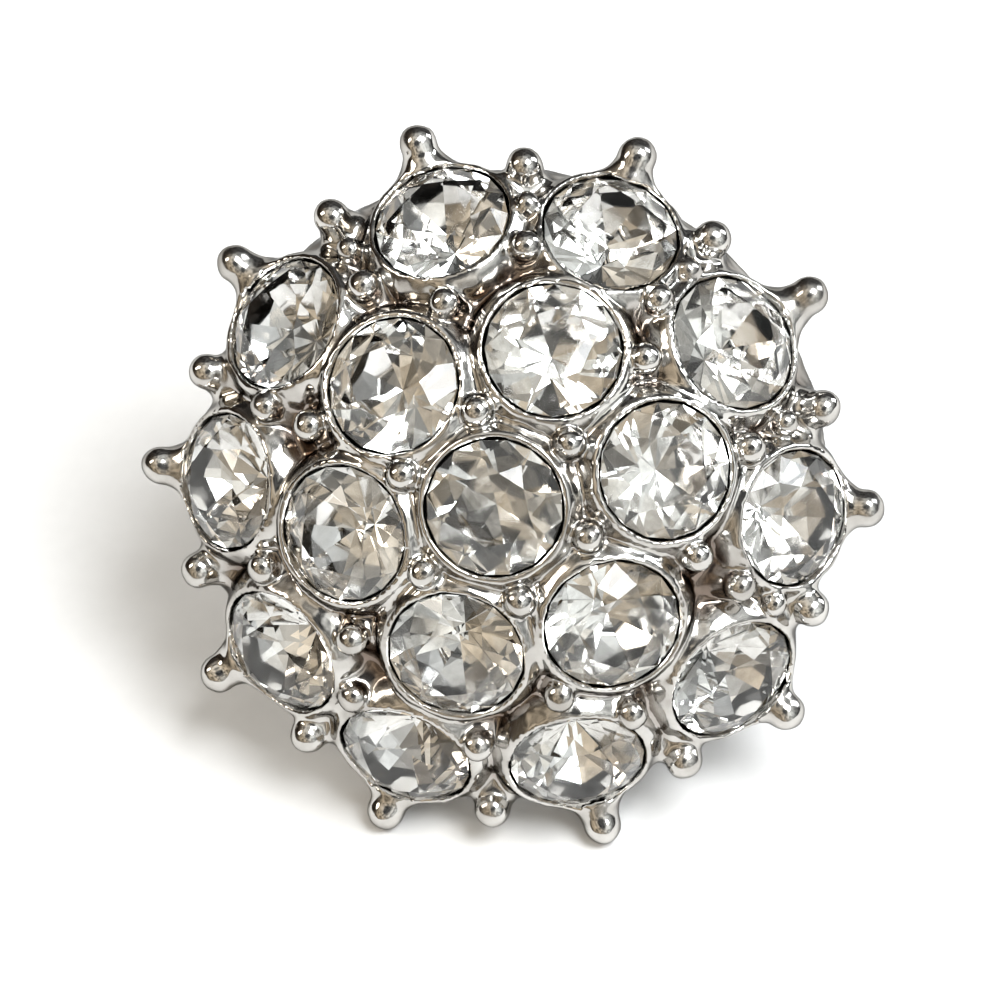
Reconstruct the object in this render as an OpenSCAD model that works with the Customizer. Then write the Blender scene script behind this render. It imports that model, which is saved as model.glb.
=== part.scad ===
// Domed cluster stud earring: seventeen round cut stones in a cast dome.
// One stone stands in the middle, six round it and ten round the edge.
// The dome is hollow behind, with an ear post soldered to a pad in it.
// The earring lies as it does on a table: on the tip of its post and on
// the two balls of the rim below, with its face turned to -Y and up.
// Heights in the pieces' own frame are from the centre of the dome's
// sphere, and +Z there points out of the face.

/* [Stones] */
// Diameter of a stone at its girdle
stone_d = 4; // [3.6:0.05:4]
// Width of the table across its corners, as a share of the diameter
table_share = 0.55; // [0.45:0.01:0.62]
// Height of the crown over the girdle
crown_h = 0.62; // [0.5:0.01:0.75]
// Depth of the pavilion under the girdle
pavilion_h = 1.66; // [1.5:0.01:1.68]
// Height of the girdle band
girdle_h = 0.08; // [0.04:0.01:0.12]
// Gap between a stone and its seat
seat_gap = 0.05; // [0.04:0.01:0.06]

/* [Layout] */
// Radius of the sphere on which the middles of the girdles lie
dome_r = 12.1; // [12.1:0.1:13]
// Lean of the inner ring's stones away from the axis
inner_lean = 23; // [22.5:0.1:23.5]
// Lean of the outer ring's stones away from the axis
outer_lean = 43.5; // [43:0.1:44]

/* [Casting] */
// Radius of the web between the cups
web_r = 11.5; // [11.3:0.05:11.6]
// Radius of the hollow behind
hollow_r = 10.4; // [10.2:0.05:10.5]
// Radius of the straight skirt below the outer cups
skirt_r = 9.5; // [9.4:0.05:9.7]
// Height of the rim's edge
rim_z = 5.95; // [5.9:0.05:6.2]
// Thickness of a cup's wall round its stone
cup_wall = 0.22; // [0.2:0.01:0.3]
// Depth under the girdle at which a cup's round wall is widest
cup_belly = 1.1; // [0.9:0.05:1.2]
// Height of a cup's lip over the girdle
lip_h = 0.15; // [0.1:0.01:0.2]

/* [Ball prongs] */
// Radius of the balls between the stones
bead_r = 0.48; // [0.45:0.01:0.5]
// Radius of the small balls that stand third in a row
small_bead_r = 0.4; // [0.37:0.01:0.42]
// Radius of the long rim prongs' balls
long_ball_r = 0.57; // [0.55:0.01:0.58]
// Radius of the short rim prongs' balls
short_ball_r = 0.54; // [0.52:0.01:0.56]
// Distance of the long rim balls from the axis
long_reach = 10.63; // [10.5:0.01:10.8]
// Height of the long rim balls
long_z = 7.16; // [7:0.01:7.3]
// Distance of the short rim balls from the axis
short_reach = 9.69; // [9.6:0.01:9.8]
// Height of the short rim balls
short_z = 7.88; // [7.7:0.01:8]

/* [Ear post] */
// Diameter of the post
post_d = 0.8; // [0.7:0.05:0.9]
// Length of the post past the rim's edge
post_reach = 9.85; // [9.5:0.05:11]
// Diameter of the groove that stops the clutch
groove_d = 0.64; // [0.55:0.01:0.66]
// Diameter of the pad that the post is soldered to
pad_d = 3.2; // [2.6:0.1:3.6]

/* [Hidden] */
$fn = 48;
INNER_COUNT = 6;
OUTER_COUNT = 10;

// The stones sit a little off an even ring, as the model for the casting
// was set by hand. A row for each stone, in degrees:
// [round the axis, away from the axis]
INNER_OFF = [[-0.5, 1.3], [-2, 0.3], [-0.5, -0.7], [-0.5, -0.6], [2.5, -0.6], [1.5, 0.7]];
OUTER_OFF = [[-1.5, 1.4], [1, -1.3], [-1, 0.1], [-2, -0.5], [1.5, -0.6],
    [1, -0.2], [2.5, -0.7], [0, 0.7], [0, -0.5], [-0.5, 2.3]];
inner_turn = 15;
inner_step = 360 / INNER_COUNT;
outer_step = 360 / OUTER_COUNT;

// Gaps of the outer ring, counted from its first stone, with a third ball
THIRD_BALL_GAPS = [0, 1, 2, 3, 9];

// Lean of the balls inside the inner ring, outside it, and inside and in
// the middle of the outer ring's gaps
bead_lean_in = 13.5;
bead_lean_out = 29.5;
bead_lean_gap = 37.6;
bead_lean_third = 44.5;
// Turn of a ball off the middle of its gap, in degrees, one for each gap
BEAD_OUT_OFF = [4, 4.5, -3, 0.5, 3, 2.5];
BEAD_GAP_OFF = [-3, 1, -1, 0.5, -1, 0, 1, -3, -2, 2];
bead_h = 0.15;
bead_foot_r = 0.8;
bead_neck_r = 0.4;
small_foot_r = 0.6;
small_neck_r = 0.33;

long_foot_reach = 9.2;
long_foot_z = 6.9;
long_foot_r = 0.95;
long_neck_r = 0.5;
short_foot_r = 1;
short_neck_r = 0.48;

stone_r = stone_d / 2;
table_r = stone_r * table_share;
// How far out the main lower facets reach, as a share of the radius
lower_share = 0.7;
FACETS = 8;
half_facet = 180 / FACETS;
table_z = girdle_h / 2 + crown_h;
// The outer points of the star facets, as they stand out past the crown's
// kites
star_r = (table_r + stone_r) / 2;
star_z = table_z - crown_h * (star_r * cos(half_facet) - table_r) / (stone_r - table_r);
bore_r = stone_r + seat_gap;
cup_r = bore_r + cup_wall;
cup_round_r = norm([cup_r, cup_belly + lip_h]);
// The long lower facets stand out past a cone, so the seat is deeper
facet_room = 0.06;
seat_slope = (pavilion_h + facet_room) / stone_r;
seat_depth = girdle_h / 2 + seat_gap + bore_r * seat_slope;

// A cup's bottom shows in the hollow as a low cone
boss_top = hollow_r + 0.3;
boss_top_r = 1.8;
boss_end_r = 1;
boss_end = dome_r - 2.2;

pad_r = pad_d / 2;
pad_bottom = boss_end - 0.45;
post_r = post_d / 2;
post_tip_z = rim_z - post_reach;
tip_r = 0.22;
groove_h = 0.4;
groove_z = post_tip_z + 1;

// At rest the post's tip and the two lowest long balls touch the table.
// The balls stand half a step of the outer ring either side of -Y
support_y = long_reach * cos(outer_step / 2);
stand_a = long_z - post_tip_z;
stand_b = support_y - tip_r;
rest_tilt = acos(long_ball_r / norm([stand_a, stand_b])) - atan2(stand_b, stand_a);
rest_lift = tip_r * sin(rest_tilt) - post_tip_z * cos(rest_tilt);
front_y = short_reach * cos(rest_tilt) + short_z * sin(rest_tilt) + short_ball_r;
back_y = tip_r * cos(rest_tilt) - post_tip_z * sin(rest_tilt);

function inner_at(k) = [
    inner_turn + inner_step * k + INNER_OFF[k][0],
    inner_lean + INNER_OFF[k][1]
];
function outer_at(k) = [
    outer_step * k + OUTER_OFF[k][0],
    outer_lean + OUTER_OFF[k][1]
];
// Turn halfway between a ring's piece k and the next one round
function halfway(turns, k) = k + 1 < len(turns)
    ? (turns[k] + turns[k + 1]) / 2
    : (turns[k] + turns[0] + 360) / 2;
function ring_point(r, turn, z) = [r * cos(turn), r * sin(turn), z];

inner_turns = [for (k = [0:INNER_COUNT - 1]) inner_at(k)[0]];
outer_turns = [for (k = [0:OUTER_COUNT - 1]) outer_at(k)[0]];
all_stones = concat(
    [[0, 0]],
    [for (k = [0:INNER_COUNT - 1]) inner_at(k)],
    [for (k = [0:OUTER_COUNT - 1]) outer_at(k)]
);

// Lays what stands on the dome's own axis down on the table
module at_rest() {
    translate([0, (front_y - back_y) / 2, rest_lift])
        rotate([rest_tilt, 0, 0])
            children();
}

// Puts what is drawn at the top of the sphere at [turn, lean]
module on_dome(place) {
    rotate([0, 0, place[0]])
        rotate([0, place[1], 0])
            children();
}

module between(z0, r0, z1, r1) {
    translate([0, 0, z0])
        cylinder(h = z1 - z0, r1 = r0, r2 = r1);
}

// A cut stone, girdle on z = 0: table, 8 stars, 8 kites and 16 upper
// girdle facets over the girdle, 16 lower girdle facets and 8 mains below
module cut_stone() {
    low_r = stone_r * lower_share;
    low_z = -girdle_h / 2 - pavilion_h * (1 - low_r * cos(half_facet) / stone_r);
    around = [0:FACETS - 1];
    points = concat(
        [for (k = around) ring_point(table_r, 2 * k * half_facet, table_z)],
        [for (k = around) ring_point(star_r, (2 * k + 1) * half_facet, star_z)],
        [for (k = [0:2 * FACETS - 1]) ring_point(stone_r, k * half_facet, girdle_h / 2)],
        [for (k = [0:2 * FACETS - 1]) ring_point(stone_r, k * half_facet, -girdle_h / 2)],
        [for (k = around) ring_point(low_r, (2 * k + 1) * half_facet, low_z)],
        [[0, 0, -girdle_h / 2 - pavilion_h]]
    );
    star = FACETS;
    upper = 2 * FACETS;
    lower = 4 * FACETS;
    low = 6 * FACETS;
    culet = 7 * FACETS;
    function next(k) = (k + 1) % FACETS;
    function step(k) = (k + 1) % (2 * FACETS);
    faces = concat(
        [[for (k = around) FACETS - 1 - k]],
        [for (k = around) [k, next(k), star + k]],
        [for (k = around) [next(k), upper + 2 * next(k), star + k]],
        [for (k = around) [next(k), star + next(k), upper + 2 * next(k)]],
        [for (k = around) [upper + 2 * k, star + k, upper + 2 * k + 1]],
        [for (k = around) [upper + 2 * k + 1, star + k, upper + 2 * next(k)]],
        [for (k = [0:2 * FACETS - 1]) [lower + k, upper + k, upper + step(k)]],
        [for (k = [0:2 * FACETS - 1]) [lower + k, upper + step(k), lower + step(k)]],
        [for (k = around) [lower + 2 * k, lower + 2 * k + 1, low + k]],
        [for (k = around) [lower + 2 * k + 1, lower + 2 * next(k), low + k]],
        [for (k = around) [lower + 2 * next(k), culet, low + k]],
        [for (k = around) [lower + 2 * next(k), low + next(k), culet]]
    );
    polyhedron(points, faces);
}

module set_stone(place) {
    color([0.9, 0.92, 0.93])
        at_rest()
            on_dome(place)
                translate([0, 0, dome_r])
                    rotate([0, 0, half_facet])
                        cut_stone();
}

// The room of a stone: its seat, its bore and a clear cone over the crown
// that passes outside the points of the star facets
module stone_room() {
    rotate_extrude()
        polygon([
            [0, dome_r - seat_depth],
            [bore_r, dome_r - girdle_h / 2 - seat_gap],
            [bore_r, dome_r + girdle_h / 2 + seat_gap],
            [star_r + seat_gap, dome_r + star_z + seat_gap],
            [table_r, dome_r + table_z + seat_gap],
            [0, dome_r + table_z + seat_gap]
        ]);
}

module bead(place, r, neck_r, foot_r) {
    on_dome(place) {
        translate([0, 0, dome_r + bead_h])
            sphere(r = r);
        between(web_r - 0.3, foot_r, dome_r + bead_h, neck_r);
    }
}

module long_prong() {
    run = [long_reach - long_foot_reach, 0, long_z - long_foot_z];
    translate([long_reach, 0, long_z])
        sphere(r = long_ball_r);
    translate([long_foot_reach, 0, long_foot_z])
        rotate([0, atan2(run[0], run[2]), 0])
            cylinder(h = norm(run), r1 = long_foot_r, r2 = long_neck_r);
}

module short_prong() {
    translate([short_reach, 0, short_z])
        sphere(r = short_ball_r);
    rotate([0, atan2(short_reach, short_z), 0])
        between(web_r - 0.4, short_foot_r, norm([short_reach, short_z]), short_neck_r);
}

// A cup's wall is round like a ball, cut off flat at its lip
module cup() {
    intersection() {
        translate([0, 0, dome_r - cup_belly])
            sphere(r = cup_round_r);
        between(hollow_r - 1, cup_round_r + 1, dome_r + lip_h, cup_round_r + 1);
    }
}

module shell() {
    difference() {
        intersection() {
            union() {
                intersection() {
                    sphere(r = web_r);
                    between(rim_z - 1, skirt_r, web_r + 1, skirt_r);
                }
                for (place = all_stones)
                    on_dome(place)
                        cup();
            }
            between(rim_z, dome_r + 1, dome_r + 1, dome_r + 1);
        }
        sphere(r = hollow_r);
    }
}

module prongs() {
    for (k = [0:INNER_COUNT - 1]) {
        turn = halfway(inner_turns, k);
        bead([turn, bead_lean_in], bead_r, bead_neck_r, bead_foot_r);
        bead([turn + BEAD_OUT_OFF[k], bead_lean_out], bead_r, bead_neck_r, bead_foot_r);
    }
    for (k = [0:OUTER_COUNT - 1]) {
        turn = halfway(outer_turns, k) + BEAD_GAP_OFF[k];
        bead([turn, bead_lean_gap], bead_r, bead_neck_r, bead_foot_r);
    }
    for (k = THIRD_BALL_GAPS)
        bead([halfway(outer_turns, k), bead_lean_third], small_bead_r, small_neck_r, small_foot_r);
    for (k = [0:OUTER_COUNT - 1]) {
        rotate([0, 0, outer_step * k])
            long_prong();
        rotate([0, 0, outer_step * (k + 0.5)])
            short_prong();
    }
}

// One round piece: tapered tip, V-shaped groove, plain wire, pad on top
module post() {
    pad_top = boss_end + 0.3;
    rotate_extrude()
        polygon([
            [0, post_tip_z],
            [tip_r, post_tip_z],
            [post_r, groove_z],
            [groove_d / 2, groove_z + groove_h / 2],
            [post_r, groove_z + groove_h],
            [post_r, pad_bottom],
            [pad_r, pad_bottom],
            [pad_r, pad_top],
            [0, pad_top]
        ]);
}

module setting() {
    color([0.78, 0.78, 0.77])
        at_rest()
            difference() {
                union() {
                    prongs();
                    shell();
                    for (place = all_stones)
                        on_dome(place)
                            between(boss_end, boss_end_r, boss_top, boss_top_r);
                    post();
                }
                for (place = all_stones)
                    on_dome(place)
                        stone_room();
            }
}

module stone_centre() {
    set_stone([0, 0]);
}

module stone_inner(k) {
    set_stone(inner_at(k - 1));
}

module stone_outer(k) {
    set_stone(outer_at(k - 1));
}

setting();
stone_centre();
stone_inner(1);  // stone_inner_1
stone_inner(2);  // stone_inner_2
stone_inner(3);  // stone_inner_3
stone_inner(4);  // stone_inner_4
stone_inner(5);  // stone_inner_5
stone_inner(6);  // stone_inner_6
stone_outer(1);  // stone_outer_1
stone_outer(2);  // stone_outer_2
stone_outer(3);  // stone_outer_3
stone_outer(4);  // stone_outer_4
stone_outer(5);  // stone_outer_5
stone_outer(6);  // stone_outer_6
stone_outer(7);  // stone_outer_7
stone_outer(8);  // stone_outer_8
stone_outer(9);  // stone_outer_9
stone_outer(10);  // stone_outer_10
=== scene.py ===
import math

import bpy
import numpy as np
from mathutils import Matrix, Vector


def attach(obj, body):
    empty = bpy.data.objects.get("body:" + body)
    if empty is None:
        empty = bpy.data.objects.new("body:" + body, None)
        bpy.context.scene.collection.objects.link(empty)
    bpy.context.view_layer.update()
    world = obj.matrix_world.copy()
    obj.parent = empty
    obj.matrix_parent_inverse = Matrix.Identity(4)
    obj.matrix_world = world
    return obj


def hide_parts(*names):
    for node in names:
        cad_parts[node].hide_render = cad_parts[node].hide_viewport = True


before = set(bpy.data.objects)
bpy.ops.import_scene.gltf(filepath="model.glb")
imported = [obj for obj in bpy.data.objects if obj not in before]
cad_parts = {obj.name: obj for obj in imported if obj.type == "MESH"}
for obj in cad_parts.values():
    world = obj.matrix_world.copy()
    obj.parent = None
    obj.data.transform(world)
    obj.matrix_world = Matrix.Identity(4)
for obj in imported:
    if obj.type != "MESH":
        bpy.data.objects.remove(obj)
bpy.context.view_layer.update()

# The casting. One piece of white metal, spun into a rubber mould: a hollow
# dome with a cup for each stone, small balls that stand between the cups and
# longer ones round the rim. It comes out with soft corners and is plated.
DOME_R = 12.1
WEB_R = 11.5
SKIRT_R = 9.5
SKIRT_EDGE = 0.5

# Its form is worked out in mm on a fine grid, as the distance from its skin,
# which is below nought inside the metal. The grid stands in the dome's own
# frame: +Z out of the face, from the middle of the dome's sphere.
GRID_STEP = 0.096
GRID_LOW = np.array([-11.7, -11.7, 5.25])
GRID_HIGH = np.array([11.7, 11.7, 13.15])
counts = ((GRID_HIGH - GRID_LOW) / GRID_STEP).astype(int) + 1
grid_lines = [(GRID_LOW[i] + GRID_STEP * np.arange(counts[i])).astype(np.float32) for i in range(3)]


def block(middle, reach):
    """The part of the grid within reach of a point, and its x, y and z."""
    start = np.maximum(((middle - reach - GRID_LOW) / GRID_STEP).astype(int), 0)
    stop = np.minimum(((middle + reach - GRID_LOW) / GRID_STEP).astype(int) + 2, counts)
    cut = tuple(slice(a, b) for a, b in zip(start, stop))
    at = np.meshgrid(*[grid_lines[i][cut[i]] for i in range(3)], indexing="ij", sparse=True)
    return cut, at


def turned(at, foot, way):
    """How far along an axis, and how far from it, the points of a block are."""
    x, y, z = at[0] - foot[0], at[1] - foot[1], at[2] - foot[2]
    along = x * way[0] + y * way[1] + z * way[2]
    return along, np.sqrt(np.maximum(x * x + y * y + z * z - along * along, 0))


def soft_max(a, b, edge):
    """The greater of two distances, rounded where they meet."""
    near = np.maximum(edge - np.abs(a - b), 0) / edge
    return np.maximum(a, b) + near * near * edge / 4


def weld(cut, form, fillet):
    """Add a form to the metal, with a fillet round its foot."""
    metal[cut] = -soft_max(-metal[cut], -form, fillet)


def carve(cut, form, edge):
    """Take a form out of the metal, and leave its edge rounded."""
    metal[cut] = soft_max(metal[cut], -form, edge)


def outward(turn, lean):
    """The way out of the dome at so many degrees round its axis and off it."""
    t, a = math.radians(turn), math.radians(lean)
    return np.array([math.sin(a) * math.cos(t), math.sin(a) * math.sin(t), math.cos(a)])


everywhere, at = block(np.zeros(3), 2 * DOME_R)
from_middle = np.sqrt(at[0] ** 2 + at[1] ** 2 + at[2] ** 2)
from_axis = np.sqrt(at[0] ** 2 + at[1] ** 2)
metal = soft_max(from_middle - WEB_R, from_axis - SKIRT_R, SKIRT_EDGE)

# The seats of the stones: one in the middle and two rings, all a little off
# an even spacing. A pair for each stone, in degrees: (round the axis, off it)
INNER_TURN = 15
INNER_LEAN = 23
OUTER_LEAN = 43.5
INNER_OFF = [(-0.5, 1.3), (-2, 0.3), (-0.5, -0.7), (-0.5, -0.6), (2.5, -0.6), (1.5, 0.7)]
OUTER_OFF = [(-1.5, 1.4), (1, -1.3), (-1, 0.1), (-2, -0.5), (1.5, -0.6),
             (1, -0.2), (2.5, -0.7), (0, 0.7), (0, -0.5), (-0.5, 2.3)]
INNER_STEP = 360 / len(INNER_OFF)
OUTER_STEP = 360 / len(OUTER_OFF)
inner_seats = [(INNER_TURN + INNER_STEP * k + turn, INNER_LEAN + lean)
               for k, (turn, lean) in enumerate(INNER_OFF)]
outer_seats = [(OUTER_STEP * k + turn, OUTER_LEAN + lean)
               for k, (turn, lean) in enumerate(OUTER_OFF)]
seats = [(0, 0)] + inner_seats + outer_seats

# A cup's wall is round like a ball, and cut off at a thin rounded lip. The
# distance from a slanting side is scaled down to near its true size.
STONE_R = 2.0
SEAT_GAP = 0.05
BORE_R = STONE_R + SEAT_GAP
CUP_WALL = 0.22
CUP_BELLY = 1.1
CUP_FILLET = 0.22
CUP_REACH = 3.4
LIP_H = 0.15
LIP_EDGE = 0.12
LIP_BEVEL = 0.15
LIP_SLOPE = 0.8
LIP_SCALE = 0.78
cup_round_r = math.hypot(BORE_R + CUP_WALL, CUP_BELLY + LIP_H)
for seat in seats:
    way = outward(*seat)
    cut, at = block(way * DOME_R, CUP_REACH)
    up, out = turned(at, way * DOME_R, way)
    cup = np.sqrt(out ** 2 + (up + CUP_BELLY) ** 2) - cup_round_r
    bevel = (out - BORE_R - LIP_EDGE + (up - LIP_H) * LIP_SLOPE) * LIP_SCALE
    weld(cut, soft_max(soft_max(cup, bevel, LIP_BEVEL), up - LIP_H, LIP_EDGE), CUP_FILLET)

# Balls stand between the cups on waisted feet, in four rows: inside the
# inner ring, outside it, and two in the gaps of the outer ring. The turns
# are counted from the middle of each gap, in degrees.
FIRST_ROW_LEAN = 13.5
SECOND_ROW_LEAN = 29.5
THIRD_ROW_LEAN = 37.6
FOURTH_ROW_LEAN = 44.5
SECOND_ROW_TURNS = [4, 4.5, -3, 0.5, 3, 2.5]
THIRD_ROW_TURNS = [-3, 1, -1, 0.5, -1, 0, 1, -3, -2, 2]
FOURTH_ROW_GAPS = [0, 1, 2, 3, 9]
BALL_UP = 0.15
BALL_REACH = 1.6
BALL_FILLET = 0.06
NECK_EDGE = 0.05
NECK_FILLET = 0.2
NECK_SCALE = 0.8
MOST_FLARE = 1.4


def halfway(ring, k):
    """The turn of the middle of the gap after a ring's seat k."""
    after = ring[k + 1][0] if k + 1 < len(ring) else ring[0][0] + 360
    return (ring[k][0] + after) / 2


def add_ball(turn, lean, ball_r=0.48, neck_r=0.4, foot_r=0.8):
    """A ball between the cups, on a foot that grows wider down to the web."""
    way = outward(turn, lean)
    rise = DOME_R + BALL_UP - WEB_R
    cut, at = block(way * DOME_R, BALL_REACH)
    up, out = turned(at, way * WEB_R, way)
    flare = np.clip(1 - up / rise, 0, MOST_FLARE) ** 2
    neck = (out - neck_r - (foot_r - neck_r) * flare) * NECK_SCALE
    weld(cut, soft_max(neck, up - rise, NECK_EDGE), NECK_FILLET)
    up, out = turned(at, way * (DOME_R + BALL_UP), way)
    weld(cut, np.sqrt(out ** 2 + up ** 2) - ball_r, BALL_FILLET)


for k, turn in enumerate(SECOND_ROW_TURNS):
    add_ball(halfway(inner_seats, k), FIRST_ROW_LEAN)
    add_ball(halfway(inner_seats, k) + turn, SECOND_ROW_LEAN)
for k, turn in enumerate(THIRD_ROW_TURNS):
    add_ball(halfway(outer_seats, k) + turn, THIRD_ROW_LEAN)
for k in FOURTH_ROW_GAPS:
    add_ball(halfway(outer_seats, k), FOURTH_ROW_LEAN, ball_r=0.4, neck_r=0.33, foot_r=0.6)

# Prongs stand out round the rim: a long one outside each outer stone, and a
# short one between, whose foot lies straight under its ball. The middles of
# balls and feet are given as (distance from the axis, height).
LONG_BALL = (10.63, 7.16)
LONG_FOOT = (9.2, 6.9)
SHORT_BALL = (9.69, 7.88)
SHORT_FOOT_R = WEB_R - 0.4
PRONG_REACH = 3.0
PRONG_FLARE = 1.2
PRONG_SCALE = 0.85
PRONG_FILLET = 0.5
PRONG_END_EDGE = 0.2
PRONG_BALL_FILLET = 0.08


def add_prong(turn, ball, foot, ball_r, neck_r, foot_r):
    """A ball-ended prong, which stands on its foot or straight under its ball."""
    t = math.radians(turn)
    spoke = np.array([[math.cos(t), 0], [math.sin(t), 0], [0, 1]])
    tip = spoke @ np.array(ball)
    root = spoke @ np.array(foot) if foot else tip * SHORT_FOOT_R / np.linalg.norm(tip)
    run = np.linalg.norm(tip - root)
    way = (tip - root) / run
    cut, at = block(tip, PRONG_REACH)
    up, out = turned(at, root, way)
    flare = np.clip(1 - up / run, 0, 1) ** PRONG_FLARE
    neck = (out - neck_r - (foot_r - neck_r) * flare) * PRONG_SCALE
    stem = soft_max(neck, up - run, NECK_EDGE)
    weld(cut, soft_max(stem, -up, PRONG_END_EDGE), PRONG_FILLET)
    up, out = turned(at, tip, way)
    weld(cut, np.sqrt(out ** 2 + up ** 2) - ball_r, PRONG_BALL_FILLET)


for k in range(len(outer_seats)):
    add_prong(OUTER_STEP * k, LONG_BALL, LONG_FOOT, ball_r=0.57, neck_r=0.52, foot_r=0.95)
    add_prong(OUTER_STEP * (k + 0.5), SHORT_BALL, None, ball_r=0.54, neck_r=0.5, foot_r=1.0)

# The hollow behind and the flat edge of the rim, and then the bottoms of the
# cups, which stand out in the hollow as low cones.
HOLLOW_R = 10.4
HOLLOW_EDGE = 0.15
RIM_Z = 5.95
RIM_EDGE = 0.2
BOSS_TOP = HOLLOW_R + 0.3
BOSS_TOP_R = 1.8
BOSS_TOP_EDGE = 0.05
BOSS_END = DOME_R - 2.2
BOSS_END_R = 1.0
BOSS_END_EDGE = 0.1
BOSS_MIDDLE = DOME_R - 1.8
BOSS_REACH = 2.6
BOSS_SCALE = 0.7
BOSS_FILLET = 0.25
carve(everywhere, from_middle - HOLLOW_R, HOLLOW_EDGE)
carve(everywhere, grid_lines[2][None, None, :] - RIM_Z, RIM_EDGE)
for seat in seats:
    way = outward(*seat)
    cut, at = block(way * BOSS_MIDDLE, BOSS_REACH)
    up, out = turned(at, way * BOSS_END, way)
    widening = (BOSS_TOP_R - BOSS_END_R) * up / (BOSS_TOP - BOSS_END)
    side = (out - BOSS_END_R - widening) * BOSS_SCALE
    cone = soft_max(side, -up, BOSS_END_EDGE)
    weld(cut, soft_max(cone, up - (BOSS_TOP - BOSS_END), BOSS_TOP_EDGE), BOSS_FILLET)

# The room for each stone: a conical seat, and a plain bore that ends just
# over the lip. Further up only the crown's own room is cleared, so that a
# ball can still lean in over the bore.
TABLE_R = 1.1
CROWN_H = 0.62
GIRDLE_H = 0.08
SEAT_H = 1.72
ROOM_REACH = 3.0
ROOM_EDGE = 0.1
HALF_FACET = math.pi / 8
table_z = GIRDLE_H / 2 + CROWN_H
star_r = (TABLE_R + STONE_R) / 2
star_z = table_z - CROWN_H * (star_r * math.cos(HALF_FACET) - TABLE_R) / (STONE_R - TABLE_R)
seat_lean = math.atan2(SEAT_H, STONE_R)
crown_lean = math.atan2(star_z - GIRDLE_H / 2, STONE_R - star_r)
for seat in seats:
    way = outward(*seat)
    cut, at = block(way * DOME_R, ROOM_REACH)
    up, out = turned(at, way * DOME_R, way)
    over_seat = up + GIRDLE_H / 2 + SEAT_GAP
    over_girdle = up - GIRDLE_H / 2 - SEAT_GAP
    below = (out - BORE_R) * math.sin(seat_lean) - over_seat * math.cos(seat_lean)
    above = (out - BORE_R) * math.sin(crown_lean) + over_girdle * math.cos(crown_lean)
    above = np.minimum(above, up - LIP_H - SEAT_GAP)
    carve(cut, np.maximum(np.maximum(below, above), out - BORE_R), ROOM_EDGE)


def untie(depth):
    """Change the weakest of four values round which two parts of the skin would touch."""
    nudge = 0.004
    tied = True
    while tied:
        tied = False
        inside = depth < 0
        for u, v in ((0, 1), (0, 2), (1, 2)):
            corners = []
            for du, dv in ((0, 0), (1, 0), (1, 1), (0, 1)):
                part = [slice(None)] * 3
                part[u] = slice(du, depth.shape[u] - 1 + du)
                part[v] = slice(dv, depth.shape[v] - 1 + dv)
                corners.append(inside[tuple(part)])
            a, b, c, d = corners
            ties = np.argwhere((a == c) & (b == d) & (a != b))
            if not len(ties):
                continue
            tied = True
            around = np.repeat(ties[:, None, :], 4, axis=1)
            around[:, 1:3, u] += 1
            around[:, 2:4, v] += 1
            strengths = np.abs(depth[tuple(around.reshape(-1, 3).T)]).reshape(-1, 4)
            weakest = tuple(around[np.arange(len(ties)), strengths.argmin(1)].T)
            depth[weakest] = np.where(inside[weakest], nudge, -nudge)


def skin_points(depth, cells):
    """A point in each cell, in the middle of where the skin crosses its edges."""
    total = np.zeros((len(cells), 3))
    hits = np.zeros(len(cells))
    for start in np.ndindex(2, 2, 2):
        for axis in range(3):
            if start[axis]:
                continue
            a = cells + start
            b = a.copy()
            b[:, axis] += 1
            depth_a = depth[tuple(a.T)]
            depth_b = depth[tuple(b.T)]
            crossed = (depth_a < 0) != (depth_b < 0)
            point = a[crossed].astype(float)
            point[:, axis] += depth_a[crossed] / (depth_a[crossed] - depth_b[crossed])
            total[crossed] += point
            hits[crossed] += 1
    return total / hits[:, None]


def skin_of(depth):
    """Points and four-sided faces of the surface on which depth is nought."""
    inside = depth < 0
    shape = [n - 1 for n in depth.shape]
    full = sum(
        inside[a:a + shape[0], b:b + shape[1], c:c + shape[2]].astype(np.uint8)
        for a, b, c in np.ndindex(2, 2, 2)
    )
    cells = np.argwhere((full > 0) & (full < 8))
    number = np.full(shape, -1, np.int32)
    number[tuple(cells.T)] = np.arange(len(cells))
    faces = []
    for axis in range(3):
        u, v = [i for i in range(3) if i != axis]
        ahead = [slice(None)] * 3
        ahead[axis] = slice(1, None)
        behind = [slice(None)] * 3
        behind[axis] = slice(None, -1)
        edges = np.argwhere(inside[tuple(behind)] != inside[tuple(ahead)])
        edges = edges[(edges[:, u] > 0) & (edges[:, v] > 0)]
        edges = edges[(edges[:, u] < shape[u]) & (edges[:, v] < shape[v])]
        around = []
        for du, dv in ((1, 1), (0, 1), (0, 0), (1, 0)):
            cell = edges.copy()
            cell[:, u] -= du
            cell[:, v] -= dv
            around.append(number[tuple(cell.T)])
        around = np.stack(around, 1)
        inside_out = inside[tuple(edges.T)] == (axis == 1)
        around[inside_out] = around[inside_out][:, ::-1]
        faces.append(around)
    return skin_points(depth, cells), np.concatenate(faces)


def depth_at(points):
    """The depth between the grid's points."""
    cell = np.clip(points.astype(int), 0, counts - 2)
    part = points - cell
    value = 0
    for corner in np.ndindex(2, 2, 2):
        share = np.prod(np.where(corner, part, 1 - part), axis=1)
        value = value + share * metal[tuple((cell + corner).T)]
    return value


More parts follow.
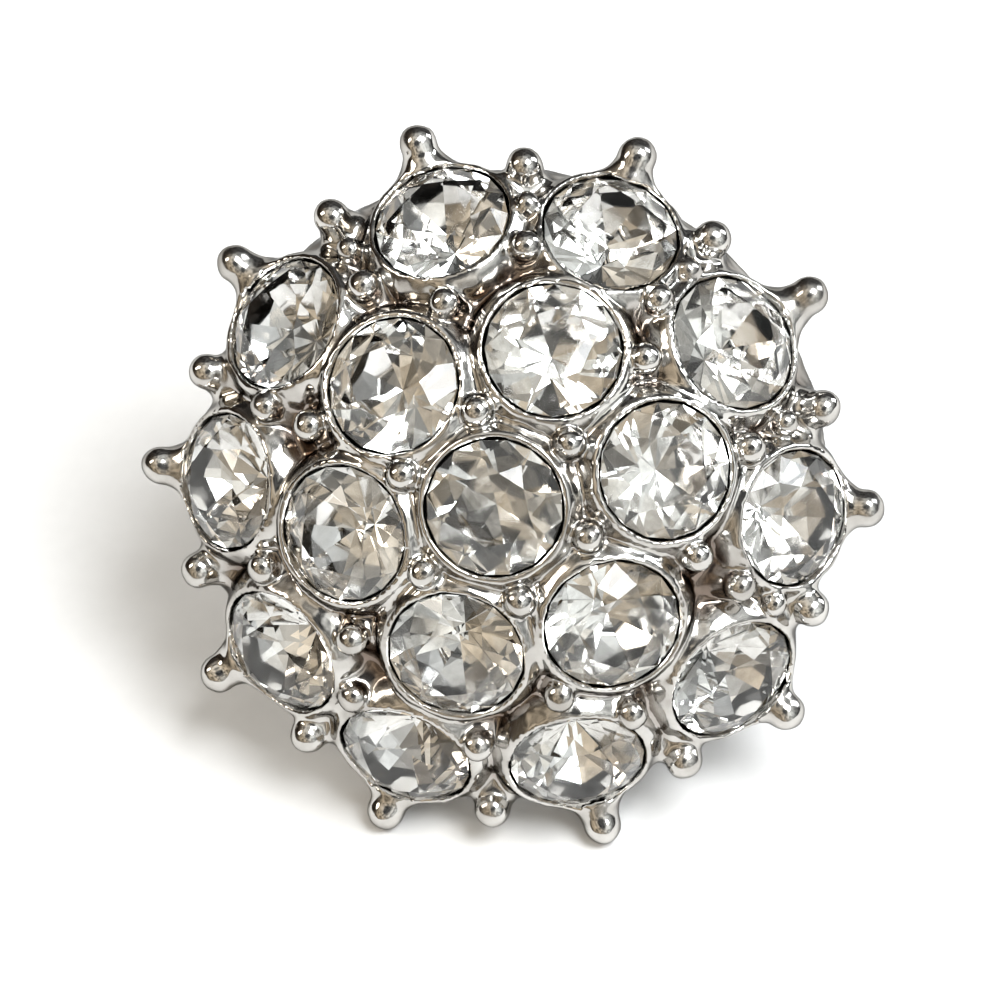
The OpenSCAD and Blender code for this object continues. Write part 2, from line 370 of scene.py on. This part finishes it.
# The skin's points are drawn onto the true form in a few short pulls
PULLS = 3
PULL_SHARE = 0.8
MOST_PULL = 0.3 / GRID_STEP
FEEL = 0.4
untie(metal)
points, faces = skin_of(metal)
for _ in range(PULLS):
    here = depth_at(points)
    slope = np.stack([
        depth_at(points + FEEL * axis) - depth_at(points - FEEL * axis) for axis in np.eye(3)
    ], 1) / (2 * FEEL)
    pull = here / np.maximum((slope ** 2).sum(1), 1e-9)
    points -= slope * np.clip(pull, -MOST_PULL, MOST_PULL)[:, None] * PULL_SHARE
points = GRID_LOW + points * GRID_STEP

# The rubber mould leaves the skin a little wavy: (length, height) of the waves
WAVES = [(1.6, 0.007), (0.9, 0.005), (0.5, 0.003)]
WAYS_OF_EACH = 5
WAVE_SEED = 5
wavy = np.random.default_rng(WAVE_SEED)
for length, height in WAVES:
    for _ in range(WAYS_OF_EACH):
        way = wavy.normal(size=3)
        way *= 2 * math.pi / length / np.linalg.norm(way)
        lift = height * np.sin(points @ way + wavy.uniform(0, 2 * math.pi))
        points += slope / np.linalg.norm(slope, axis=1)[:, None] * lift[:, None]

# The hollow and the seats under the stones are plain, so they get fewer faces
CASTING_TRIANGLES = 197000
HOLLOW_SKIN = 0.3
SEAT_TOP = -0.2
SEAT_BOTTOM = -2.0
SEAT_R = BORE_R - 0.1
plain = np.linalg.norm(points, axis=1) < HOLLOW_R + HOLLOW_SKIN
for seat in seats:
    way = outward(*seat)
    up, out = turned(points.T, way * DOME_R, way)
    plain |= (up < SEAT_TOP) & (up > SEAT_BOTTOM) & (out < SEAT_R)
rough = bpy.data.meshes.new("rough_casting")
rough.from_pydata(points.tolist(), [], faces.tolist())
carrier = bpy.data.objects.new("rough_casting", rough)
bpy.context.scene.collection.objects.link(carrier)
carrier.vertex_groups.new(name="plain").add(np.flatnonzero(plain).tolist(), 1.0, "REPLACE")
thinner = carrier.modifiers.new("thinner", "DECIMATE")
thinner.ratio = CASTING_TRIANGLES / (2 * len(faces))
thinner.vertex_group = "plain"
thinned = carrier.evaluated_get(bpy.context.evaluated_depsgraph_get()).to_mesh()
points = [tuple(vertex.co) for vertex in thinned.vertices]
faces = [tuple(face.vertices) for face in thinned.polygons]
bpy.data.objects.remove(carrier)
bpy.data.meshes.remove(rough)

# On the table the earring stands on its post's tip and two balls of the rim
MM = 0.001
TILT = math.radians(45.99553)
REST = Vector((0, 4.99085, 2.86763)) * MM
as_it_lies = Matrix.Translation(REST) @ Matrix.Rotation(TILT, 4, "X") @ Matrix.Scale(MM, 4)


def mesh_piece(name, points, faces):
    """A piece that rides with the part, from points in mm in the dome's frame."""
    mesh = bpy.data.meshes.new(name)
    mesh.from_pydata([tuple(point) for point in points], [], faces)
    mesh.transform(as_it_lies)
    mesh.validate()
    piece = bpy.data.objects.new(name, mesh)
    bpy.context.scene.collection.objects.link(piece)
    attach(piece, "root")
    return piece


casting = mesh_piece("casting", points, faces)
casting.data.shade_smooth()


def set_sockets(node, values):
    """Set a node's inputs by their names, in which _ stands for a space."""
    for name, value in values.items():
        node.inputs[name.replace("_", " ")].default_value = value


def add_node(tree, kind, **values):
    """A new node with some of its inputs set."""
    node = tree.nodes.new(kind)
    set_sockets(node, values)
    return node


def add_mix(tree, share, low, high, blend="MIX"):
    """What a mix of two colours puts out. Each is a plain colour or an output."""
    mix = tree.nodes.new("ShaderNodeMix")
    mix.data_type = "RGBA"
    mix.blend_type = blend
    tree.links.new(share, mix.inputs[0])
    for socket, colour in ((mix.inputs[6], low), (mix.inputs[7], high)):
        if isinstance(colour, tuple):
            socket.default_value = (*colour, 1)
        else:
            tree.links.new(colour, socket)
    return mix.outputs[2]


def plating_group():
    """Plated metal's own unevenness: cloudy polish, and the waves a mould leaves."""
    group = bpy.data.node_groups.new("plating", "ShaderNodeTree")
    numbers = {"Cloud scale": 900, "Wave scale": 700, "Smooth": 0.06, "Rough": 0.22}
    colours = {"Bright": (0.68, 0.666, 0.642, 1), "Dull": (0.44, 0.42, 0.395, 1)}
    for name, value in numbers.items():
        socket = group.interface.new_socket(name, in_out="INPUT", socket_type="NodeSocketFloat")
        socket.default_value = value
    for name, value in colours.items():
        socket = group.interface.new_socket(name, in_out="INPUT", socket_type="NodeSocketColor")
        socket.default_value = value
    group.interface.new_socket("Colour", in_out="OUTPUT", socket_type="NodeSocketColor")
    group.interface.new_socket("Roughness", in_out="OUTPUT", socket_type="NodeSocketFloat")
    group.interface.new_socket("Height", in_out="OUTPUT", socket_type="NodeSocketFloat")
    link = group.links.new
    given = group.nodes.new("NodeGroupInput")
    results = group.nodes.new("NodeGroupOutput")
    surface = group.nodes.new("ShaderNodeTexCoord").outputs["Object"]
    cloud = add_node(group, "ShaderNodeTexNoise", Detail=4)
    link(surface, cloud.inputs["Vector"])
    link(given.outputs["Cloud scale"], cloud.inputs["Scale"])
    spread = add_node(group, "ShaderNodeMapRange", From_Min=0.35, From_Max=0.7)
    link(cloud.outputs["Fac"], spread.inputs["Value"])
    dullness = spread.outputs["Result"]
    cloudy = add_mix(group, dullness, given.outputs["Bright"], given.outputs["Dull"])
    link(cloudy, results.inputs["Colour"])
    polish = group.nodes.new("ShaderNodeMix")
    link(dullness, polish.inputs[0])
    link(given.outputs["Smooth"], polish.inputs[2])
    link(given.outputs["Rough"], polish.inputs[3])
    link(polish.outputs[0], results.inputs["Roughness"])
    wave = add_node(group, "ShaderNodeTexNoise", Detail=3)
    link(surface, wave.inputs["Vector"])
    link(given.outputs["Wave scale"], wave.inputs["Scale"])
    link(wave.outputs["Fac"], results.inputs["Height"])
    return group


def metal_finish(name, group, bump_strength, bump_depth, **values):
    """A metal material that takes its look from a node group, set to its own values."""
    material = bpy.data.materials.new(name)
    material.use_nodes = True
    tree = material.node_tree
    shader = tree.nodes["Principled BSDF"]
    shader.inputs["Metallic"].default_value = 1
    look = tree.nodes.new("ShaderNodeGroup")
    look.name = "look"
    look.node_tree = group
    set_sockets(look, values)
    bump = add_node(tree, "ShaderNodeBump", Strength=bump_strength, Distance=bump_depth)
    tree.links.new(look.outputs["Colour"], shader.inputs["Base Color"])
    tree.links.new(look.outputs["Roughness"], shader.inputs["Roughness"])
    tree.links.new(look.outputs["Height"], bump.inputs["Height"])
    tree.links.new(bump.outputs["Normal"], shader.inputs["Normal"])
    return material


plating = plating_group()
plated = metal_finish("plated_casting", plating, bump_strength=0.25, bump_depth=0.00015)

# The colour is tinted darker lower down on the dome. Down between the cups a
# brownish tint stands for grime and also for painted shade in the recesses, and
# the hollow behind is a little darker. The skirt outside the cups gets no tint.
DEEP_R = 10.6 * MM
RAISED_R = 12.2 * MM
STAINED_SHADED_R = 9.0 * MM
UNTINTED_R = 9.4 * MM
HOLLOW_TINT = (0.82, 0.79, 0.76)
GRIME_AND_SHADE_TINT = (0.4, 0.33, 0.29)
NO_TINT = (1, 1, 1)
GRIME_AND_SHADE_STOPS = [(0.35, HOLLOW_TINT), (0.52, GRIME_AND_SHADE_TINT), (0.65, GRIME_AND_SHADE_TINT), (0.95, NO_TINT)]
DOME_AXIS = (0, -math.sin(TILT), math.cos(TILT))


def vector_step(tree, operation, given, by=None):
    """What a step of vector arithmetic puts out, with a fixed second vector."""
    step = tree.nodes.new("ShaderNodeVectorMath")
    step.operation = operation
    tree.links.new(given, step.inputs[0])
    if by is not None:
        step.inputs[1].default_value = by
    gives_number = operation in ("DISTANCE", "LENGTH", "DOT_PRODUCT")
    return step.outputs["Value" if gives_number else "Vector"]


tree = plated.node_tree
shader = tree.nodes["Principled BSDF"]
where = tree.nodes.new("ShaderNodeTexCoord").outputs["Object"]
height = add_node(tree, "ShaderNodeMapRange", From_Min=DEEP_R, From_Max=RAISED_R)
tree.links.new(vector_step(tree, "DISTANCE", where, REST), height.inputs["Value"])
# Painted shade with grime: a ramp that darkens the colour towards the recesses
grime_and_shade = tree.nodes.new("ShaderNodeValToRGB")
stops = grime_and_shade.color_ramp.elements
for place, tint in GRIME_AND_SHADE_STOPS[1:-1]:
    stops.new(place)
for stop, (place, tint) in zip(stops, GRIME_AND_SHADE_STOPS):
    stop.position = place
    stop.color = (*tint, 1)
tree.links.new(height.outputs["Result"], grime_and_shade.inputs["Fac"])
from_rest = vector_step(tree, "SUBTRACT", where, REST)
off_axis = vector_step(tree, "LENGTH", vector_step(tree, "CROSS_PRODUCT", from_rest, DOME_AXIS))
within = add_node(tree, "ShaderNodeMapRange", From_Min=UNTINTED_R, From_Max=STAINED_SHADED_R)
tree.links.new(off_axis, within.inputs["Value"])
# The painted shade and grime tint is multiplied in, between the cups only
stained_and_shaded = add_mix(tree, within.outputs["Result"], tree.nodes["look"].outputs["Colour"],
                  grime_and_shade.outputs["Color"], blend="MULTIPLY")
tree.links.new(stained_and_shaded, shader.inputs["Base Color"])
shader.inputs["Specular Tint"].default_value = (0.2, 0.2, 0.2, 1)
casting.data.materials.append(plated)
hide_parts("setting")

# The ear post. Hard drawn wire, 0.8 mm, with a groove near its tapered tip
# for the clutch, soldered upright to a round pad in the middle of the hollow.
POST_R = 0.4
TIP_R = 0.22
TIP_Z = -3.9
GROOVE_R = 0.32
GROOVE_Z = -2.9
WIRE_RINGS = 12
SOLDER_R = 0.4
SOLDER_START = 0.2
SOLDER_RINGS = 7
PAD_R = 1.6
PAD_BOTTOM = BOSS_END - 0.45
PAD_TOP = BOSS_END + 0.3
POST_SIDES = 48

# Its outline from the tip up, in mm: (distance from the axis, height)
tip_line = [(0, TIP_Z), (0.12, TIP_Z), (0.19, TIP_Z + 0.015), (TIP_R, TIP_Z + 0.05),
            (0.27, TIP_Z + 0.15), (0.32, TIP_Z + 0.35), (0.36, TIP_Z + 0.6), (0.385, TIP_Z + 0.8)]
groove_line = [(0.392, GROOVE_Z - 0.06), (0.385, GROOVE_Z + 0.01), (0.36, GROOVE_Z + 0.08),
               (0.33, GROOVE_Z + 0.15), (GROOVE_R, GROOVE_Z + 0.2), (0.33, GROOVE_Z + 0.25),
               (0.36, GROOVE_Z + 0.32), (0.385, GROOVE_Z + 0.39), (POST_R, GROOVE_Z + 0.46)]
solder_z = PAD_BOTTOM - SOLDER_R
wire_line = [(POST_R, z) for z in np.linspace(GROOVE_Z + 1, solder_z, WIRE_RINGS)]
solder_line = [(POST_R + SOLDER_R * (1 - math.cos(a)), solder_z + SOLDER_R * math.sin(a))
               for a in np.linspace(SOLDER_START, math.pi / 2, SOLDER_RINGS)]
pad_line = [(PAD_R - 0.08, PAD_BOTTOM), (PAD_R - 0.02, PAD_BOTTOM + 0.03),
            (PAD_R, PAD_BOTTOM + 0.1), (PAD_R, PAD_TOP), (0, PAD_TOP)]


def spun(line, sides):
    """Points and faces of a line spun round the axis, from its foot up."""
    points, faces = [], []
    for r, z in line[1:-1]:
        for k in range(sides):
            a = 2 * math.pi * k / sides
            points.append((r * math.cos(a), r * math.sin(a), z))
    rings = len(line) - 2
    for i in range(rings - 1):
        for k in range(sides):
            n = (k + 1) % sides
            faces.append((i * sides + k, i * sides + n, (i + 1) * sides + n, (i + 1) * sides + k))
    faces.append(tuple(reversed(range(sides))))
    faces.append(tuple(range((rings - 1) * sides, rings * sides)))
    return points, faces


post_line = tip_line + groove_line + wire_line + solder_line + pad_line
post = mesh_piece("ear_post", *spun(post_line, POST_SIDES))
post.data.shade_smooth()
drawn = metal_finish("drawn_wire", plating, bump_strength=0.15, bump_depth=0.00005,
                     Cloud_scale=1500, Wave_scale=2500)
post.data.materials.append(drawn)
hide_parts("setting")

# The stones. Machine-cut crystal glass, 4 mm, with an octagonal table and a
# pointed back that carries a silver foil, glued in the cups. No two stand
# quite alike: each has its own turn and a slight tilt.
PAVILION_H = 1.66
LOW_R = STONE_R * 0.7
MOST_TURN = 45
LEAST_TILT = 0.2
MOST_TILT = 1.0
MANY_TURNS = 360
TURN_SEED = 17


def cut_stone():
    """Points and faces of a stone, girdle on z = 0, and how many are crown."""
    low_z = -GIRDLE_H / 2 - PAVILION_H * (1 - LOW_R * math.cos(HALF_FACET) / STONE_R)

    def ring(r, z, count, turn=0.0):
        """Points evenly round the axis, the first at a turn in radians."""
        ways = [2 * math.pi / count * k + turn for k in range(count)]
        return [(r * math.cos(way), r * math.sin(way), z) for way in ways]

    points = ring(TABLE_R, table_z, 8) + ring(star_r, star_z, 8, HALF_FACET)
    points += ring(STONE_R, GIRDLE_H / 2, 16) + ring(STONE_R, -GIRDLE_H / 2, 16)
    points += ring(LOW_R, low_z, 8, HALF_FACET) + [(0, 0, -GIRDLE_H / 2 - PAVILION_H)]
    star, upper, lower, low, culet = 8, 16, 32, 48, 56
    crown = [tuple(range(8))]
    back = []
    for k in range(8):
        n = (k + 1) % 8
        even, odd, after = 2 * k, 2 * k + 1, 2 * n
        crown.append((k, star + k, n))
        crown.append((n, star + k, upper + after, star + n))
        crown.append((star + k, upper + even, upper + odd))
        crown.append((star + k, upper + odd, upper + after))
        crown.append((upper + even, lower + even, lower + odd, upper + odd))
        crown.append((upper + odd, lower + odd, lower + after, upper + after))
        back.append((low + k, lower + odd, lower + even))
        back.append((low + k, lower + after, lower + odd))
        back.append((low + k, culet, low + n, lower + after))
    return points, crown + back, len(crown)


# Clear glass, wiped but not quite clean, so that it is hazy in places
crystal = bpy.data.materials.new("cut_crystal")
crystal.use_nodes = True
tree = crystal.node_tree
glass = tree.nodes["Principled BSDF"]
glass.inputs["Base Color"].default_value = (1, 1, 1, 1)
glass.inputs["Transmission Weight"].default_value = 1
glass.inputs["IOR"].default_value = 1.58
wipe = add_node(tree, "ShaderNodeTexNoise", Scale=1200)
haze = add_node(tree, "ShaderNodeMapRange", From_Min=0.4, From_Max=0.8, To_Max=0.06)
tree.links.new(wipe.outputs["Fac"], haze.inputs["Value"])
tree.links.new(haze.outputs["Result"], glass.inputs["Roughness"])
foil = metal_finish("silver_foil", plating, bump_strength=0.1, bump_depth=0.00005,
                    Cloud_scale=1100, Wave_scale=600, Smooth=0.02, Rough=0.12,
                    Bright=(0.93, 0.93, 0.92, 1), Dull=(0.72, 0.71, 0.69, 1))

own_turns = np.random.default_rng(TURN_SEED)
stone_nodes = ["stone_centre"]
stone_nodes += [f"stone_inner_{k + 1}" for k in range(len(inner_seats))]
stone_nodes += [f"stone_outer_{k + 1}" for k in range(len(outer_seats))]
cut_points, cut_faces, crown_count = cut_stone()
for node, (turn, lean) in zip(stone_nodes, seats):
    spin = own_turns.uniform(0, MOST_TURN)
    tilt_way = own_turns.uniform(0, MANY_TURNS)
    tilt = own_turns.uniform(LEAST_TILT, MOST_TILT)
    in_its_cup = (
        Matrix.Rotation(math.radians(turn), 4, "Z")
        @ Matrix.Rotation(math.radians(lean), 4, "Y")
        @ Matrix.Translation((0, 0, DOME_R))
        @ Matrix.Rotation(math.radians(tilt), 4, (math.cos(tilt_way), math.sin(tilt_way), 0))
        @ Matrix.Rotation(math.radians(spin), 4, "Z")
    )
    points = [in_its_cup @ Vector(point) for point in cut_points]
    stone = mesh_piece(node.replace("stone", "crystal"), points, cut_faces)
    stone.data.materials.append(crystal)
    stone.data.materials.append(foil)
    for face in stone.data.polygons:
        face.material_index = int(face.index >= crown_count)
    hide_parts(node)

# The table top. A sheet of plain pale card, matt, with the faintest tooth.
# It lies flat under the earring and reaches past the picture on all sides.
CARD_REACH = 0.8
card = bpy.data.meshes.new("card")
card.from_pydata([(-CARD_REACH, -CARD_REACH, 0), (CARD_REACH, -CARD_REACH, 0),
                  (CARD_REACH, CARD_REACH, 0), (-CARD_REACH, CARD_REACH, 0)], [], [(0, 1, 2, 3)])
table_top = bpy.data.objects.new("table_top", card)
bpy.context.scene.collection.objects.link(table_top)
paper = bpy.data.materials.new("pale_card")
paper.use_nodes = True
tree = paper.node_tree
matt = tree.nodes["Principled BSDF"]
matt.inputs["Roughness"].default_value = 0.7
tooth = add_node(tree, "ShaderNodeTexNoise", Scale=2500)
paleness = add_node(tree, "ShaderNodeMapRange", To_Min=0.74, To_Max=0.78)
tree.links.new(tooth.outputs["Fac"], paleness.inputs["Value"])
tree.links.new(paleness.outputs["Result"], matt.inputs["Base Color"])
card.materials.append(paper)

# The light. A pale room, warm to the left and cooler to the right, that is
# bright overhead and dark where the camera stands. Two soft windows and a
# small warm lamp light the earring in it.
OVER_FACE = Vector((0.093, -0.619, 0.780))
TO_RIGHT = Vector((1, 0.35, 0.2))
WARM_LOW = (0.04, 0.03, 0.022)
WARM_HIGH = (0.57, 0.475, 0.35)
COOL_LOW = (0.09, 0.09, 0.09)
COOL_HIGH = (0.9, 0.93, 0.92)
BY_CAMERA = (0.07, 0.07, 0.07)
HEAD = Vector((0, 0, 0.008))
room = bpy.data.worlds.new("room")
room.use_nodes = True
bpy.context.scene.world = room
sky = room.node_tree
background = sky.nodes["Background"]
whither = sky.nodes.new("ShaderNodeTexCoord").outputs["Generated"]


def towards(way, near, far):
    """How far a direction leans towards way, from 0 at near to 1 at far."""
    share = add_node(sky, "ShaderNodeMapRange", From_Min=near, From_Max=far)
    share.interpolation_type = "SMOOTHSTEP"
    lean = vector_step(sky, "DOT_PRODUCT", whither, way.normalized())
    sky.links.new(lean, share.inputs["Value"])
    return share.outputs["Result"]


overhead = towards(OVER_FACE, near=0.1, far=0.9)
warm_side = add_mix(sky, overhead, WARM_LOW, WARM_HIGH)
cool_side = add_mix(sky, overhead, COOL_LOW, COOL_HIGH)
walls = add_mix(sky, towards(TO_RIGHT, near=-0.7, far=0.7), warm_side, cool_side)
walls = add_mix(sky, towards(OVER_FACE, near=0.93, far=0.98), walls, BY_CAMERA)
sky.links.new(walls, background.inputs["Color"])

# The room isn't even: furniture and gaps show as brighter and darker places
places = add_node(sky, "ShaderNodeTexNoise", Scale=4.5, Detail=2)
uneven = add_node(sky, "ShaderNodeMapRange", From_Min=0.38, From_Max=0.62, To_Min=0.35, To_Max=1.65)
sky.links.new(whither, places.inputs["Vector"])
sky.links.new(places.outputs["Fac"], uneven.inputs["Value"])
sky.links.new(uneven.outputs["Result"], background.inputs["Strength"])


def soft_box(name, at, wide, high, watts, colour):
    """A wide lamp at a place in metres, turned to the earring's head."""
    light = bpy.data.lights.new(name, "AREA")
    light.shape = "RECTANGLE"
    light.size = wide
    light.size_y = high
    light.energy = watts
    light.color = colour
    lamp = bpy.data.objects.new(name, light)
    lamp.location = at
    lamp.rotation_mode = "QUATERNION"
    lamp.rotation_quaternion = (HEAD - Vector(at)).to_track_quat("-Z", "Y")
    bpy.context.scene.collection.objects.link(lamp)


soft_box("window_over", (0.17, -0.06, 0.36), wide=0.18, high=0.22, watts=1.9, colour=(0.97, 0.99, 1))
soft_box("window_right", (0.36, 0.20, 0.22), wide=0.12, high=0.24, watts=0.9, colour=(0.93, 0.97, 1))
soft_box("lamp_left", (-0.28, -0.05, 0.24), wide=0.08, high=0.16, watts=0.4, colour=(1, 0.93, 0.82))

# The camera. A long lens at the picture's angle: it looks down a little
# steeper than the face leans, and slightly from the right.
CAMERA_AT = Vector((13.914, -96.556, 128.273)) * MM
CAMERA_UP = Vector((-0.06134, 0.77849, 0.62466))
AIM = Vector((0.1, -3.2, 11.0)) * MM
camera_data = bpy.data.cameras.new("camera")
camera_data.sensor_width = 36
camera_data.lens = 186
camera_data.clip_start = 0.01
camera_data.clip_end = 5
camera = bpy.data.objects.new("camera", camera_data)
back = (CAMERA_AT - AIM).normalized()
right = CAMERA_UP.cross(back).normalized()
facing = Matrix((right, back.cross(right), back)).transposed().to_4x4()
camera.matrix_world = Matrix.Translation(CAMERA_AT) @ facing
bpy.context.scene.collection.objects.link(camera)
bpy.context.scene.camera = camera
bpy.context.scene.view_settings.view_transform = "Standard"
